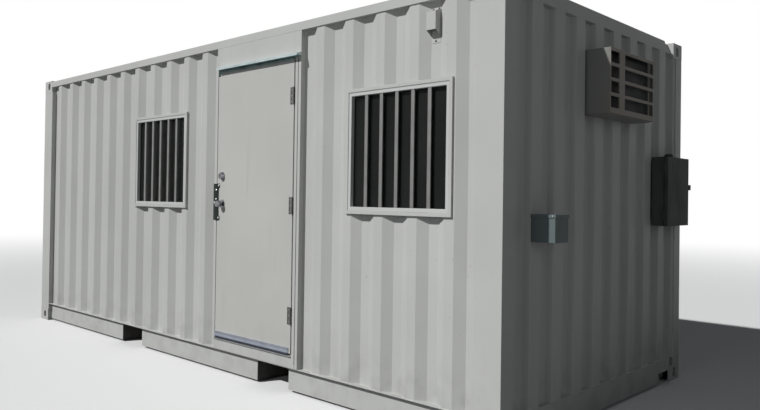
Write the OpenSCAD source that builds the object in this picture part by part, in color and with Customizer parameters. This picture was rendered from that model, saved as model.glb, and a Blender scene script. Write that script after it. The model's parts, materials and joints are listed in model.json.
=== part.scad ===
// Site cabin made from a 20 ft steel shipping container.
// X runs along the length, the doorway is in the -Y side and the end with the cooler is at +X.
// The origin is at the middle of the plan, level with the feet of the corner castings.

/* [Overall size] */
// Outer length over the corner castings
length = 6058; // [5400:1:7000]
// Outer width over the corner castings
width = 2438; // [2300:1:2600]
// Outer height over the corner castings
height = 2591; // [2560:1:2900]

/* [Corner castings] */
// Length of a casting along the container
casting_l = 178; // [160:1:190]
// Width of a casting across the container
casting_w = 162; // [150:1:170]
// Height of a casting
casting_h = 118; // [110:1:130]
// Thickness of the casting's walls
casting_wall = 28; // [16:0.5:29]
// Length of the twistlock slot
slot_l = 124; // [110:0.5:126]
// Width of the twistlock slot
slot_w = 63.5; // [55:0.5:66]
// Height of the lashing hole in a side or end face
lash_h = 79; // [60:1:84]
// Width of the lashing hole in a side or end face
lash_w = 51; // [40:1:56]
// Distance of the slot's centre from the end face
slot_in_l = 102.5; // [95:0.5:105]
// Distance of the slot's centre from the side face
slot_in_w = 89.5; // [85:0.5:92]

/* [Posts and rails] */
// Width of a corner post on the long side
post_face = 190; // [180:1:220]
// Width of a corner post on the end
post_end_face = 110; // [90:1:160]
// Plate thickness of the corner posts
post_t = 6; // [4:0.5:10]
// Height and depth of the top side rail's square tube
top_rail = 60; // [50:1:70]
// Wall thickness of the top rails
rail_t = 4; // [3:0.5:6]
// How far the top rails lie below the tops of the castings
top_drop = 10; // [6:1:16]
// Top of the bottom side rail
bottom_rail_top = 182; // [165:1:200]
// Foot of the rails above the ground
rail_foot = 17; // [10:1:30]
// How far the bottom side rail's web is set back from the castings' face
bottom_setback = 36; // [20:1:40]
// Plate thickness of the bottom rails
bottom_t = 4.5; // [3:0.5:6]
// How far the bottom rail's lip stays behind the castings' face
lip_setback = 2; // [0:0.5:4]
// Width of the bottom rail's foot flange
foot_flange = 30; // [20:1:45]
// Height of the end header
header_h = 81; // [70:1:110]
// Depth of the end header and end sill
end_rail_d = 48; // [40:1:50]
// How far the end rails stay behind the castings' face
end_setback = 8; // [4:1:14]
// Top of the end sill
sill_top = 186; // [170:1:215]
// Distance from the casting to the notch in the end sill
notch_gap = 27; // [15:1:60]
// Width of the notch in the end sill
notch_w = 175; // [100:1:180]
// Top of the notch in the end sill
notch_top = 90; // [60:1:110]
// Radius of the round dip in the end header beside a casting
dip_r = 200; // [150:1:260]
// Lowest point of the dip above the header's foot
dip_foot = 10; // [8:1:30]
// How deep the dip reaches into the header
dip_d = 36; // [20:1:38]

/* [Corrugated walls] */
// Sheet thickness of the walls and the roof
sheet_t = 2; // [1.5:0.1:3]
// How far the crests lie behind the castings' face
crest_setback = 8; // [4:1:12]
// Pitch of the long walls' corrugation
side_pitch = 280; // [270:1:300]
// Crest width of the long walls' corrugation
side_crest = 72; // [60:1:80]
// Slope width of the long walls' corrugation
side_slope = 68; // [50:1:75]
// Depth of the long walls' corrugation
side_depth = 36; // [30:1:40]
// Pitch of the end walls' corrugation
end_pitch = 250; // [230:1:270]
// Crest width of the end walls' corrugation
end_crest = 110; // [90:1:120]
// Slope width of the end walls' corrugation
end_slope = 18; // [15:1:30]
// Depth of the end walls' corrugation
end_depth = 40; // [30:1:42]

/* [Roof] */
// Pitch of the roof's ribs
roof_pitch = 209; // [190:1:240]
// Width of a rib's flat top
roof_crest = 91; // [80:1:100]
// Width of a rib's slope
roof_slope = 13.5; // [10:0.5:20]
// Depth of the roof's ribs
roof_depth = 20; // [12:1:24]
// How far the ribs rise above the top side rail
roof_rise = 5; // [2:0.5:6]

/* [Under-frame and floor] */
// Height of a cross member
cross_h = 122; // [100:1:130]
// Flange width of a cross member
cross_flange = 45; // [35:1:55]
// Plate thickness of a cross member
cross_t = 4; // [3:0.5:6]
// Spacing of the cross members
cross_pitch = 300; // [280:1:320]
// Distance between the centres of the two fork pockets
fork_pitch = 2080; // [2000:1:2120]
// Clear width of a fork pocket
fork_w = 360; // [340:1:380]
// Top of the clear height of a fork pocket
fork_top = 162; // [140:1:164]
// Thickness of the plywood floor
floor_t = 28; // [24:1:32]

/* [Lining] */
// Thickness of the insulated wall lining
lining_t = 60; // [40:1:80]
// Thickness of the ceiling
ceiling_t = 40; // [25:1:44]

/* [Doorway] */
// Left edge of the flat steel surround
door_left = 330; // [300:1:350]
// Width of the surround's left post
post_left_w = 14; // [12:1:30]
// Width of the surround's right post
post_right_w = 68; // [50:1:90]
// Width of the door leaf
leaf_w = 926; // [900:1:940]
// Height of the flat wall over the door
over_door_h = 180; // [150:1:260]
// Thickness of the door leaf
leaf_t = 45; // [38:1:50]
// Gap beside and above the leaf
leaf_gap = 5; // [5:0.5:7]
// Gap at the latch edge of the leaf
latch_gap = 7; // [6.5:0.5:9]
// Underside of the leaf above the ground
leaf_foot = 280; // [272:1:292]
// Plate thickness of the surround
surround_t = 4; // [3:0.5:5]
// Width of the stop behind the leaf
stop_w = 16; // [12:1:25]
// Gap between the leaf and its stop
stop_gap = 5; // [5:0.5:8]
// Face width of the inner door frame
frame_w = 14; // [10:1:30]
// Distance from the doorway to the groove in the right post's face
groove_in = 38; // [20:1:45]
// Width and depth of the groove in the right post's face
groove = 3; // [1:0.5:3]
// Thickness of the threshold plate
threshold_t = 5; // [3:0.5:6]
// How far the threshold's nose stands out of the wall
threshold_nose = 10; // [4:1:30]
// Underside of the drip cap above the top of the leaf
drip_above = 11; // [10:1:40]
// How far the drip cap stands out
drip_out = 42; // [30:1:60]
// Distance from the surround's left edge to the drip cap's left end
drip_in = 40; // [0:1:60]
// Height of the drip cap
drip_h = 22; // [16:1:40]

/* [Door fittings] */
// Height of a hinge
hinge_h = 120; // [90:1:140]
// Number of knuckles in a hinge
knuckles = 5; // [3:2:7]
// Outer radius of a hinge knuckle
knuckle_r = 8; // [7:0.5:10]
// Radius of a hinge pin
pin_r = 4; // [3:0.5:5]
// Radial clearance of a hinge pin
pin_clearance = 0.05; // [0.02:0.01:0.1]
// Gap between two knuckles
knuckle_gap = 1; // [0.5:0.1:2]
// Gap between a knuckle and the faces behind it
knuckle_play = 1; // [0.5:0.1:2]
// Thickness of a hinge plate
hinge_plate_t = 2; // [1:0.1:2.2]
// Depth of a hinge plate in the gap beside the leaf
hinge_plate_w = 30; // [20:1:38]
// Distance from the leaf's ends to the middles of the outer hinges
hinge_in = 262; // [200:1:300]
// Distance of the lock's axis from the leaf's edge
backset = 70; // [60:1:90]
// Height of the knob's axis
knob_z = 1308; // [1000:1:1350]
// Height of the deadbolt's axis
deadbolt_z = 1524; // [1450:1:1600]
// Radius of the knob's rose
rose_r = 34; // [28:1:38]
// Distance from the knob's flat front back to its widest part
knob_flat = 19; // [12:1:24]
// Height of the rose's dome
rose_h = 9; // [6:0.5:12]
// Radius of the knob
knob_r = 27; // [24:1:30]
// How far the knob stands out of the leaf
knob_out = 56; // [50:1:75]
// Radius of the deadbolt's cylinder guard
deadbolt_r = 30; // [24:1:34]
// How far the deadbolt's guard stands out of the leaf
deadbolt_out = 24; // [15:1:30]
// Width of the latch guard
guard_plate_w = 76; // [60:1:90]
// Height of the latch guard
guard_plate_h = 284; // [200:1:300]
// Height of the latch guard's middle
guard_plate_z = 1322; // [1200:1:1400]
// Plate thickness of the latch guard
guard_plate_t = 3; // [2:0.5:4]
// Height of the tabs at the latch guard's ends
guard_tab_h = 34; // [20:1:50]
// How far the tabs reach past the rest of the latch guard
guard_tab_w = 14; // [8:1:16]
// Gap between the latch guard and the surround
guard_plate_gap = 5.5; // [5:0.5:8]
// Height of the door sweep
sweep_h = 40; // [35:1:60]
// Thickness of the door sweep
sweep_t = 6; // [4:0.5:10]
// Distance from the sweep's end to the leaf's hinge edge
sweep_in = 20; // [10:1:40]
// How far the sweep hangs below the leaf
sweep_drop = 6; // [3:0.5:7]
// Underside of the sweep above the threshold
sweep_gap = 5; // [5:0.5:8]

/* [Windows] */
// Wall between the left window's guard and the doorway
window_left_gap = 431; // [300:1:600]
// Wall between the right window's guard and the corner post
window_right_gap = 155; // [130:1:280]
// Wall between the windows' guards and the top rail
window_drop = 459; // [350:1:600]
// Outer width of a window's guard frame
guard_w = 868; // [780:1:880]
// Outer height of a window's guard frame
guard_h = 796; // [780:1:860]
// Depth of the guard frame in front of the wall
guard_d = 15; // [12:1:60]
// Face width of the guard frame
guard_face = 21; // [12:1:30]
// Plate thickness of the guard frame
guard_t = 3; // [2:0.5:4]
// Gap between the guard frame and the window frame
guard_gap = 1.5; // [1:0.5:6]
// Face width of the window frame
window_face = 23; // [16:1:30]
// How far the window frame's front lies behind the guard's front
window_inset = 4; // [2:0.5:10]
// Thickness of the glass
glass_t = 6; // [4:0.5:10]
// Distance from the window frame's front to the glass
glass_in = 30; // [20:1:70]
// How far the window frame stands out of the lining
window_inner = 5; // [2:1:15]

/* [Vent hood] */
// Least distance from the vent hood's middle to the corner post
vent_end_gap = 284; // [200:1:300]
// Width of the vent hood
vent_w = 70; // [50:1:71]
// Wall between the vent hood's plate and the top rail
vent_drop = 31; // [20:1:80]
// Height of the vent hood's plate
vent_h = 212; // [150:1:220]
// Height of the flat strips above and below the hood
vent_strip = 35; // [25:1:45]
// How far the vent hood stands out of the recess
vent_out = 52; // [30:1:60]
// Sheet thickness of the vent hood
vent_t = 2; // [1.5:0.5:4]

/* [End wall fittings] */
// Left edge of the air conditioner, seen from outside
ac_y = -295; // [-400:1:-200]
// Width of the air conditioner
ac_w = 637; // [500:1:660]
// Wall between the air conditioner and the end header
ac_drop = 182; // [120:1:300]
// Height of the air conditioner
ac_h = 406; // [350:1:450]
// How far the air conditioner stands out of the crests
ac_out = 158; // [120:1:220]
// How far the air conditioner stands into the room
ac_in = 90; // [40:1:150]
// Thickness of the air conditioner's outer grille
ac_grille_t = 10; // [9:1:30]
// Sheet thickness of the air conditioner's case
ac_t = 3; // [2:0.5:5]
// Distance from the grille to the coil behind it
ac_recess = 40; // [20:1:60]
// Height of the tray below the air conditioner
ac_tray_h = 7; // [4:1:15]
// How far the tray stays behind the case's sides and front
ac_tray_in = 12; // [5:1:30]
// Number of rows of openings in the grille
grille_rows = 4; // [3:1:8]
// Height of the grille's lower rim
grille_foot = 36; // [20:1:50]
// Height of the grille's upper rim
grille_head = 20; // [10:1:40]
// Width of the grille's side rims
grille_rim = 9; // [6:1:20]
// Height of a bar between two rows
grille_bar = 21; // [10:1:30]
// Width of the openings left of the upright
grille_left_w = 114; // [60:1:150]
// Width of the upright
grille_post_w = 76; // [40:1:100]
// Width of the thin strut behind the right openings
grille_strut = 8; // [4:1:12]
// Distance from the right side of the grille to the strut
grille_strut_in = 76; // [50:1:150]
// Wall between the junction box and the near corner post
junction_gap = 174; // [100:1:250]
// Width of the junction box
junction_w = 150; // [100:1:200]
// Underside of the junction box
junction_z = 1136; // [1000:1:1200]
// Height of the junction box
junction_h = 156; // [100:1:200]
// How far the junction box stands out of the crests
junction_out = 160; // [100:1:180]
// Height of the junction box's lid
junction_lid_h = 20; // [12:1:40]
// How far the lid stands out of the junction box
junction_lip = 4; // [2:1:8]
// Wall between the disconnect box and the far corner post
disconnect_gap = 24; // [20:1:100]
// Width of the disconnect box
disconnect_w = 390; // [300:1:395]
// Underside of the disconnect box
disconnect_z = 1196; // [1100:1:1300]
// Height of the disconnect box
disconnect_h = 500; // [400:1:550]
// How far the disconnect box and its cover stand out of the crests
disconnect_out = 121; // [100:1:150]
// Depth of the disconnect box's cover
cover_d = 26; // [20:1:40]
// Sheet thickness of the disconnect box
box_t = 3; // [2:0.5:4]
// Gap between the disconnect box and its cover
cover_gap = 5; // [5:0.5:6]
// Height of the padlock tabs on the box and its cover
hasp_h = 36; // [24:1:60]
// How far the padlock tabs stand out of the box's side
hasp_w = 16; // [12:1:22]
// Radius of the padlock holes
hasp_hole_r = 4; // [3:0.5:5]
// Radius of the conduit hub on top of the box
hub_r = 22; // [15:1:30]
// Height of the conduit hub
hub_h = 10; // [6:1:30]
// Distance of the conduit hub's axis from the box's far side
hub_in = 110; // [60:1:200]
// Radius of the cover's hinge pin
cover_pin_r = 3; // [2:0.5:4]
// Radius of the cover's hinge knuckles
cover_knuckle_r = 6; // [5:0.5:8]
// Height of a knuckle on the cover's hinges
cover_knuckle_h = 22; // [15:1:40]
// Distance of the cover's hinges from its ends
cover_hinge_in = 80; // [50:1:120]
// Reach of the cover's hinge plates from the pin
cover_plate_w = 26; // [20:1:28]

/* [Hidden] */
$fn = 48;
// Overlap of a cutting shape past the face it cuts
cut = 1;

half_l = length / 2;
half_w = width / 2;
roof_line = height - top_drop;
wall_top = roof_line - top_rail;
header_foot = roof_line - header_h;
web_y = half_w - bottom_setback;
web_in_y = web_y - bottom_t;
crest_y = half_w - crest_setback;
recess_y = crest_y - side_depth;
lining_out_y = recess_y - sheet_t;
lining_in_y = lining_out_y - lining_t;
crest_x = half_l - crest_setback;
recess_x = crest_x - end_depth;
lining_out_x = recess_x - sheet_t;
lining_in_x = lining_out_x - lining_t;
post_in_x = half_l - post_face;
post_in_y = half_w - post_end_face;
floor_top = bottom_rail_top + floor_t;
floor_edge_x = half_l - end_setback - end_rail_d;
ceiling_foot = height - casting_h;

leaf_left = door_left + post_left_w + latch_gap;
leaf_right = leaf_left + leaf_w;
jamb_left = door_left + post_left_w;
jamb_right = leaf_right + leaf_gap;
door_right = jamb_right + post_right_w;
header_z = wall_top - over_door_h;
leaf_top = header_z - leaf_gap;
leaf_back_y = half_w - leaf_t;
stop_y = leaf_back_y - stop_gap;
threshold_top = leaf_foot - sweep_drop - sweep_gap;
sill_top_z = threshold_top - threshold_t;
hinge_x = (leaf_right + jamb_right) / 2;
hinge_y = half_w + knuckle_r + knuckle_play;
lock_x = leaf_left + backset;

guard_front_y = crest_y + guard_d;
window_w = guard_w - 2 * (guard_face + guard_gap);
window_h = guard_h - 2 * (guard_face + guard_gap);
light_w = window_w - 2 * window_face;
light_h = window_h - 2 * window_face;
window_front_y = guard_front_y - window_inset;
window_back_y = lining_in_y - window_inner;
glass_y = window_front_y - glass_in;
window_left_x = door_left - window_left_gap - guard_w / 2;
window_right_x = post_in_x - window_right_gap - guard_w / 2;
window_z = wall_top - window_drop - guard_h / 2;

vent_x = side_pitch * floor((post_in_x - vent_end_gap) / side_pitch);
vent_z = wall_top - vent_drop - vent_h;
ac_z = header_foot - ac_drop - ac_h;
junction_y = junction_gap - post_in_y;
disconnect_y = post_in_y - disconnect_gap - disconnect_w;

module box(low, high) {
    translate(low) cube(high - low);
}

// Repeats a shape at the four corners of the plan, mirrored so that each faces outwards
module at_corners() {
    for (sx = [0, 1], sy = [0, 1])
        mirror([sx, 0, 0]) mirror([0, sy, 0]) children();
}

module both_sides() {
    for (sy = [0, 1]) mirror([0, sy, 0]) children();
}

module both_ends() {
    for (sx = [0, 1]) mirror([sx, 0, 0]) children();
}

// A hole with round ends, its long side along X
module slot_2d(l, w) {
    for (s = [-1, 1]) translate([s * (l - w) / 2, 0]) circle(d = w);
    square([l - w, w], center = true);
}

// A trapezoid wave along X: a crest at y = 0, the recess at y = depth, centred on a crest edge
function wave(from, to, pitch, crest, slope, depth, start, shift) = [
    for (k = [floor((from - start) / pitch) - 1 : ceil((to - start) / pitch) + 1])
        let (x = start + k * pitch)
        each [
            [x - crest / 2 - slope - shift, depth],
            [x - crest / 2 - shift, 0],
            [x + crest / 2 + shift, 0],
            [x + crest / 2 + slope + shift, depth]
        ]
];

// The cut edge of a folded sheet of even thickness
module folded_sheet(from, to, pitch, crest, slope, depth, start, t) {
    bend = atan2(depth, slope);
    ease = t * tan(bend / 2);
    outer = wave(from, to, pitch, crest, slope, depth, start, 0);
    inner = wave(from, to, pitch, crest, slope, depth, start, -ease);
    back = [for (i = [len(inner) - 1 : -1 : 0]) [inner[i][0], inner[i][1] + t]];
    intersection() {
        polygon(concat(outer, back));
        translate([from, -cut]) square([to - from, depth + t + 2 * cut]);
    }
}

// Corrugated sheet of a long wall on the -Y side
module side_sheet(from, to) {
    translate([0, -crest_y, bottom_rail_top])
        linear_extrude(wall_top - bottom_rail_top)
            folded_sheet(from, to, side_pitch, side_crest, side_slope, side_depth,
                side_pitch / 2, sheet_t);
}

// The room that the top castings take up at the four corners
module casting_room() {
    at_corners()
        box([half_l - casting_l, half_w - casting_w, ceiling_foot],
            [half_l + cut, half_w + cut, height + cut]);
}

// Corrugated sheet of an end wall on the +X end
module end_sheet() {
    difference() {
        translate([crest_x, 0, sill_top])
            rotate([0, 0, 90])
                linear_extrude(header_foot - sill_top)
                    folded_sheet(-post_in_y, post_in_y, end_pitch, end_crest, end_slope,
                        end_depth, end_pitch / 2, sheet_t);
        casting_room();
    }
}

// Extrudes an outline drawn in Y and Z along X
module along_x(from, to) {
    translate([from, 0, 0]) rotate([90, 0, 90]) linear_extrude(to - from) children();
}

// Hollow box with open ends along one axis is cut from this ring
module ring(w, h, face, from_y, to_y) {
    difference() {
        box([-w / 2, from_y, -h / 2], [w / 2, to_y, h / 2]);
        box([face - w / 2, from_y - cut, face - h / 2], [w / 2 - face, to_y + cut, h / 2 - face]);
    }
}

module casting() {
    difference() {
        box([half_l - casting_l, half_w - casting_w, 0], [half_l, half_w, casting_h]);
        box([half_l - casting_l + casting_wall, half_w - casting_w + casting_wall, casting_wall],
            [half_l - casting_wall, half_w - casting_wall, casting_h - casting_wall]);
        translate([half_l - slot_in_l, half_w - slot_in_w, -cut])
            linear_extrude(casting_wall + 2 * cut) slot_2d(slot_l, slot_w);
        translate([half_l - slot_in_l, half_w + cut, casting_h / 2])
            rotate([90, 0, 0])
                linear_extrude(casting_wall + 2 * cut)
                    rotate([0, 0, 90]) slot_2d(lash_h, lash_w);
        translate([half_l - casting_wall - cut, half_w - slot_in_w, casting_h / 2])
            rotate([90, 0, 90])
                linear_extrude(casting_wall + 2 * cut)
                    rotate([0, 0, 90]) slot_2d(lash_h, lash_w);
    }
}

module bottom_castings() {
    color("gainsboro") at_corners() casting();
}

module top_castings() {
    color("gainsboro") at_corners()
        translate([0, 0, height]) mirror([0, 0, 1]) casting();
}

module corner_posts() {
    color("gainsboro") at_corners()
        translate([0, 0, casting_h])
            linear_extrude(height - 2 * casting_h) {
                translate([post_in_x, half_w - post_t]) square([post_face, post_t]);
                translate([post_in_x, lining_out_y]) square([post_t, half_w - lining_out_y]);
                translate([half_l - post_t, post_in_y]) square([post_t, post_end_face]);
                translate([lining_out_x, post_in_y]) square([half_l - lining_out_x, post_t]);
            }
}

module bottom_side_rails() {
    color("gainsboro") both_sides() difference() {
        rotate([90, 0, 90])
            translate([0, 0, casting_l - half_l])
                linear_extrude(length - 2 * casting_l) {
                    translate([-web_y, rail_foot]) square([bottom_t, bottom_rail_top - rail_foot]);
                    translate([lip_setback - half_w, bottom_rail_top - bottom_t])
                        square([half_w - lip_setback - web_in_y, bottom_t]);
                    translate([-web_y, rail_foot]) square([foot_flange, bottom_t]);
                }
        for (s = [-1, 1]) translate([s * fork_pitch / 2, 0, 0]) {
            box([-fork_w / 2, -half_w, 0], [fork_w / 2, -web_in_y, fork_top]);
            box([-fork_w / 2 - cross_t, -web_in_y, 0],
                [fork_w / 2 + cross_t, foot_flange - web_y + cut, fork_top]);
        }
        both_ends() box([post_in_x, -half_w, casting_h], [half_l, 0, bottom_rail_top + cut]);
    }
}

module top_side_rails() {
    color("gainsboro") both_sides()
        translate([casting_l - half_l, -half_w, wall_top])
            rotate([90, 0, 90])
                linear_extrude(length - 2 * casting_l)
                    difference() {
                        square(top_rail);
                        translate([rail_t, rail_t]) square(top_rail - 2 * rail_t);
                    }
}

module bottom_end_rails() {
    color("gainsboro") both_ends() difference() {
        box([floor_edge_x, casting_w - half_w, rail_foot],
            [half_l - end_setback, half_w - casting_w, sill_top]);
        box([floor_edge_x - cut, casting_w - half_w - cut, rail_foot + rail_t],
            [half_l - end_setback - rail_t, half_w - casting_w + cut, sill_top - rail_t]);
        both_sides() translate([0, half_w - casting_w - notch_gap - notch_w, 0])
            box([floor_edge_x - cut, 0, 0], [half_l, notch_w, notch_top]);
    }
}

// The circle of the round dip beside the casting on the +Y side
module dip_2d(r) {
    translate([half_w - casting_w, header_foot + dip_foot + dip_r]) circle(r = r, $fn = 96);
}

module top_end_rails() {
    face_x = half_l - end_setback;
    header_w = width - 2 * casting_w;
    color("gainsboro") both_ends() difference() {
        union() {
            difference() {
                box([floor_edge_x, -header_w / 2, header_foot], [face_x, header_w / 2, roof_line]);
                box([floor_edge_x + rail_t, -header_w / 2 - cut, header_foot + rail_t],
                    [face_x - rail_t, header_w / 2 + cut, roof_line - rail_t]);
            }
            both_sides() along_x(face_x - dip_d - rail_t, face_x) intersection() {
                dip_2d(dip_r + rail_t);
                translate([0, header_foot]) square([header_w / 2, header_h]);
            }
        }
        both_sides() along_x(face_x - dip_d, half_l) dip_2d(dip_r);
    }
}

// Channel section of a cross member, its web at x = 0
module cross_channel() {
    square([cross_t, cross_h]);
    square([cross_flange, cross_t]);
    translate([0, cross_h - cross_t]) square([cross_flange, cross_t]);
}

function clear_of_forks(x) =
    abs(abs(x + cross_flange / 2) - fork_pitch / 2) > fork_w / 2 + cross_flange;

module cross_members() {
    count = floor((floor_edge_x - cross_flange) / cross_pitch);
    color("dimgray")
        for (i = [-count : count])
            if (clear_of_forks(i * cross_pitch))
                translate([i * cross_pitch, web_in_y, bottom_rail_top - cross_h])
                    rotate([90, 0, 0])
                        linear_extrude(2 * web_in_y) cross_channel();
}

module fork_pockets() {
    color("dimgray")
        for (s = [-1, 1])
            translate([s * fork_pitch / 2, web_in_y, 0])
                rotate([90, 0, 0])
                    linear_extrude(2 * web_in_y) {
                        for (m = [0, 1]) mirror([m, 0, 0])
                            translate([fork_w / 2, rail_foot])
                                square([cross_t, bottom_rail_top - rail_foot]);
                        translate([-fork_w / 2, fork_top]) square([fork_w, cross_t]);
                    }
}

module floor_boards() {
    color("burlywood")
        box([-floor_edge_x, -lining_out_y, bottom_rail_top],
            [floor_edge_x, lining_out_y, floor_top]);
}

module roof_panel() {
    inner_y = half_w - top_rail;
    color("lightgray") difference() {
        translate([0, inner_y, roof_line + roof_rise])
            rotate([90, 0, 0])
                linear_extrude(2 * inner_y)
                    mirror([0, 1])
                        folded_sheet(-floor_edge_x, floor_edge_x, roof_pitch, roof_crest,
                            roof_slope, roof_depth, 0, sheet_t);
        casting_room();
    }
}

module window_hole(x) {
    translate([x, 0, window_z])
        box([-window_w / 2, -half_w - cut, -window_h / 2],
            [window_w / 2, -lining_in_y + cut, window_h / 2]);
}

module front_wall_left() {
    color("gainsboro") difference() {
        side_sheet(-post_in_x, door_left);
        window_hole(window_left_x);
    }
}

module front_wall_right() {
    color("gainsboro") difference() {
        side_sheet(door_right, post_in_x);
        window_hole(window_right_x);
    }
}

module back_wall() {
    color("gainsboro") mirror([0, 1, 0]) side_sheet(-post_in_x, post_in_x);
}

module end_wall_right() {
    color("gainsboro") difference() {
        end_sheet();
        box([0, ac_y, ac_z], [half_l, ac_y + ac_w, ac_z + ac_h]);
    }
}

module end_wall_left() {
    color("gainsboro") mirror([1, 0, 0]) end_sheet();
}

module door_posts() {
    color("gainsboro") {
        box([door_left, -half_w, bottom_rail_top], [jamb_left, -lining_out_y, wall_top]);
        difference() {
            box([jamb_right, -half_w, bottom_rail_top], [door_right, -lining_out_y, wall_top]);
            box([jamb_right + surround_t, surround_t - half_w, bottom_rail_top - cut],
                [door_right - surround_t, -lining_out_y - surround_t, wall_top + cut]);
            translate([jamb_right + groove_in, -half_w, 0])
                box([0, -cut, 0], [groove, groove, header_z]);
        }
    }
}

module door_header() {
    color("gainsboro") difference() {
        box([jamb_left, -half_w, header_z], [jamb_right, -lining_out_y, wall_top]);
        box([jamb_left - cut, surround_t - half_w, header_z + surround_t],
            [jamb_right + cut, -lining_out_y - surround_t, wall_top - surround_t]);
    }
}

module door_sill() {
    color("gainsboro")
        translate([jamb_left, 0, 0])
            rotate([90, 0, 90])
                linear_extrude(jamb_right - jamb_left)
                    polygon([
                        [-half_w, bottom_rail_top], [-lining_out_y, bottom_rail_top],
                        [-lining_out_y, floor_top], [-lining_in_y, floor_top],
                        [-lining_in_y, sill_top_z], [-half_w, sill_top_z]
                    ]);
}

module door_frame() {
    inner_left = jamb_left + stop_w;
    inner_right = jamb_right - stop_w;
    back_y = -lining_in_y + window_inner;
    color("gainsboro") difference() {
        box([door_left, -lining_out_y, floor_top],
            [jamb_right + frame_w, back_y, header_z + frame_w]);
        box([inner_left, -half_w, 0], [inner_right, 0, header_z - stop_w]);
        box([jamb_left, -half_w, 0], [jamb_right, -stop_y, header_z]);
        box([jamb_left, -half_w, 0], [jamb_right, 0, threshold_top]);
    }
}

module threshold() {
    color("darkgray")
        translate([jamb_left, 0, 0])
            rotate([90, 0, 90])
                linear_extrude(jamb_right - jamb_left)
                    polygon([
                        [-half_w - threshold_nose, sill_top_z - threshold_t],
                        [-half_w, sill_top_z - threshold_t], [-half_w, sill_top_z],
                        [-lining_in_y, sill_top_z], [-lining_in_y, threshold_top],
                        [-half_w, threshold_top], [-half_w - threshold_nose, sill_top_z]
                    ]);
}

module drip_cap() {
    foot = leaf_top + drip_above;
    color("silver")
        translate([door_left + drip_in, 0, 0])
            rotate([90, 0, 90])
                linear_extrude(door_right - door_left - drip_in)
                    polygon([
                        [-half_w, foot], [-half_w, foot + drip_h + sheet_t],
                        [-half_w - sheet_t, foot + drip_h + sheet_t],
                        [-half_w - drip_out, foot + drip_h / 2],
                        [-half_w - drip_out, foot - drip_h / 4],
                        [-half_w - drip_out + sheet_t, foot - drip_h / 4],
                        [-half_w - drip_out + sheet_t, foot]
                    ]);
}

// Heights of the three hinges' middles
hinge_low = leaf_foot + hinge_in;
hinge_high = leaf_top - hinge_in;
hinge_heights = [hinge_low, (hinge_low + hinge_high) / 2, hinge_high];
knuckle_h = hinge_h / knuckles;

// Every second knuckle from the first one, each with the tab that joins it to its plate.
// The pin is at the origin and the gap beside the leaf lies along +Y.
module knuckle_row(first) {
    for (i = [first : 2 : knuckles - 1])
        translate([0, 0, i * knuckle_h - hinge_h / 2 + knuckle_gap / 2]) {
            cylinder(r = knuckle_r, h = knuckle_h - knuckle_gap);
            box([leaf_gap / 2 - hinge_plate_t, (pin_r + knuckle_r) / 2, 0],
                [leaf_gap / 2, hinge_y - half_w, knuckle_h - knuckle_gap]);
        }
    box([leaf_gap / 2 - hinge_plate_t, hinge_y - half_w, -hinge_h / 2],
        [leaf_gap / 2, hinge_y - half_w + hinge_plate_w, hinge_h / 2]);
}

module hinge_leaves_frame() {
    color("silver")
        for (z = hinge_heights)
            translate([hinge_x, -hinge_y, z]) {
                knuckle_row(0);
                translate([0, 0, (knuckle_gap - hinge_h) / 2])
                    cylinder(r = pin_r, h = hinge_h - knuckle_gap);
            }
}

module hinge_leaves_door() {
    color("silver")
        for (z = hinge_heights)
            translate([hinge_x, -hinge_y, z])
                difference() {
                    mirror([1, 0, 0]) knuckle_row(1);
                    translate([0, 0, -hinge_h / 2 - cut])
                        cylinder(r = pin_r + pin_clearance, h = hinge_h + 2 * cut);
                }
}

module at_windows() {
    for (x = [window_left_x, window_right_x]) translate([x, 0, window_z]) children();
}

module window_frames() {
    color("white") at_windows()
        ring(window_w, window_h, window_face, -window_front_y, -window_back_y);
}

module window_glass() {
    color("darkslategray") at_windows()
        box([-light_w / 2, -glass_y, -light_h / 2], [light_w / 2, glass_t - glass_y, light_h / 2]);
}

module window_guards() {
    color("gainsboro") at_windows() {
        ring(guard_w, guard_h, guard_t, -guard_front_y, -crest_y);
        ring(guard_w, guard_h, guard_face, -guard_front_y, guard_t - guard_front_y);
    }
}

// Side view of the vent hood in Y and Z, open along its sloping underside
module hood_2d(inset) {
    out_y = -recess_y - vent_out + inset;
    polygon([
        [-recess_y - inset / 2, vent_strip - inset], [out_y, 2 * vent_strip - 2 * inset],
        [out_y, vent_h - vent_strip - inset], [-recess_y - inset / 2, vent_h - vent_strip / 2 - inset]
    ]);
}

module vent_hood() {
    color("gainsboro")
        translate([vent_x - vent_w / 2, 0, vent_z]) {
            box([0, -recess_y - vent_t, 0], [vent_w, -recess_y, vent_h]);
            difference() {
                along_x(0, vent_w) hood_2d(0);
                along_x(vent_t, vent_w - vent_t) hood_2d(vent_t);
            }
        }
}

// The cooler's case with its open front, closed behind by the coil, and the tray under it
module ac_case() {
    front = crest_x + ac_out - ac_grille_t;
    color("gainsboro") {
        difference() {
            box([lining_in_x - ac_in, ac_y, ac_z], [front, ac_y + ac_w, ac_z + ac_h]);
            box([front - ac_recess, ac_y + ac_t, ac_z + ac_t],
                [front + cut, ac_y + ac_w - ac_t, ac_z + ac_h - ac_t]);
        }
        box([crest_x + cut, ac_y + ac_tray_in, ac_z - ac_tray_h],
            [front - ac_tray_in, ac_y + ac_w - ac_tray_in, ac_z]);
    }
}

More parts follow.
